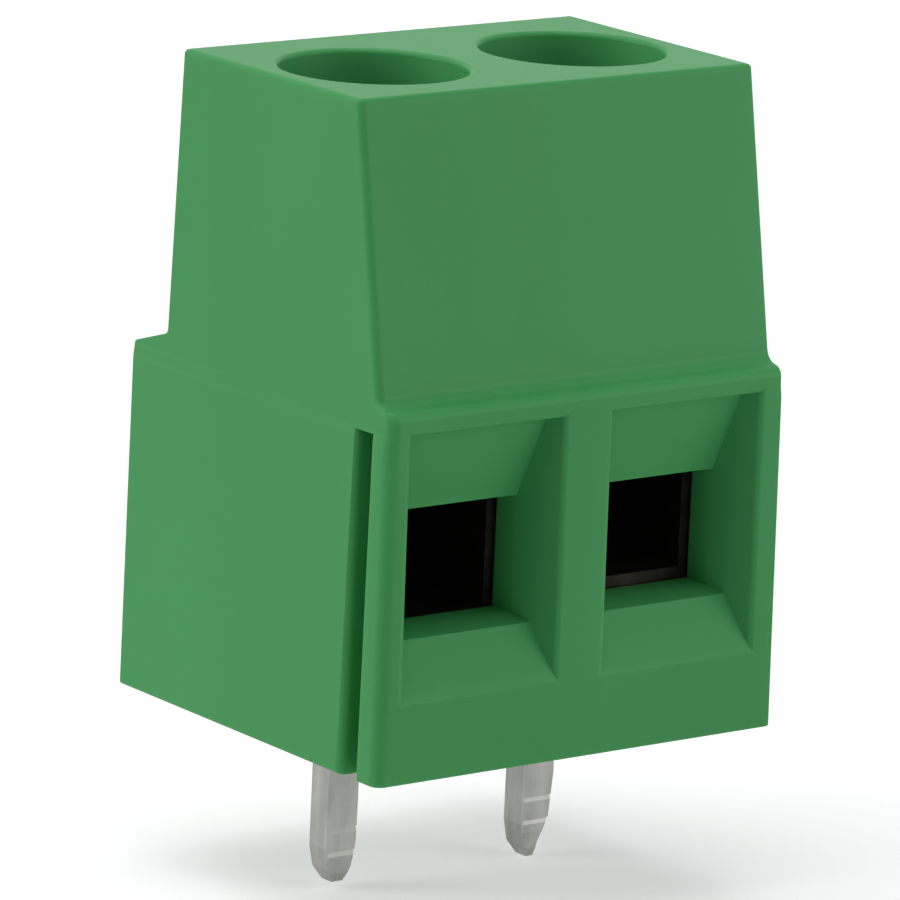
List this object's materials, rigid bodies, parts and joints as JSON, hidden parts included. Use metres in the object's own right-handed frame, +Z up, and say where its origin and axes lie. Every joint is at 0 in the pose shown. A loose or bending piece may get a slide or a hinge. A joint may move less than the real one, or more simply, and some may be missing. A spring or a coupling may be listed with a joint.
{
  "type": "pcb screw terminal",
  "caption": "Upright green wire-to-board screw terminal with funnel wire entries on the front, driver wells on top, lift-cage clamps inside and tinned solder pins below.",
  "frame": {"origin": "in the plane of the board, midway between the two solder pins", "axes": "+X along the row of poles, to the right seen from the wire entries; -Y out of the wire entries; +Z up, away from the board"},
  "size_m": [0.0106, 0.0092, 0.0173],
  "materials": {
    "housing": "satin green polyamide, slightly translucent",
    "cage": "nickel plated",
    "screw": "zinc plated",
    "contact": "matte tin plated"
  },
  "bodies": {
    "housing": {"housing": "housing", "contact_left": "contact", "contact_right": "contact"},
    "screw_left": {"screw_left": "screw"},
    "screw_right": {"screw_right": "screw"},
    "cage_left": {"cage_left": "cage"},
    "cage_right": {"cage_right": "cage"}
  },
  "joints": [
    {"name": "screw_left_turn", "type": "hinge", "parent": "housing", "child": "screw_left", "pos_m": [-0.00254, -0.0003, 0.0104], "axis": [0, 0, -1], "range_deg": [0, 1841]},
    {"name": "screw_right_turn", "type": "hinge", "parent": "housing", "child": "screw_right", "pos_m": [0.00254, -0.0003, 0.0104], "axis": [0, 0, -1], "range_deg": [-225, 1617]},
    {"name": "cage_left_lift", "type": "slide", "parent": "housing", "child": "cage_left", "axis": [0, 0, 1], "range_m": [0, 0.0023]},
    {"name": "cage_right_lift", "type": "slide", "parent": "housing", "child": "cage_right", "axis": [0, 0, 1], "range_m": [-0.00028, 0.00202]}
  ],
  "couplings": [
    {"joint": "screw_left_turn", "follows": "cage_left_lift", "rad_per_m": 13963},
    {"joint": "screw_right_turn", "follows": "cage_right_lift", "rad_per_m": 13963}
  ]
}
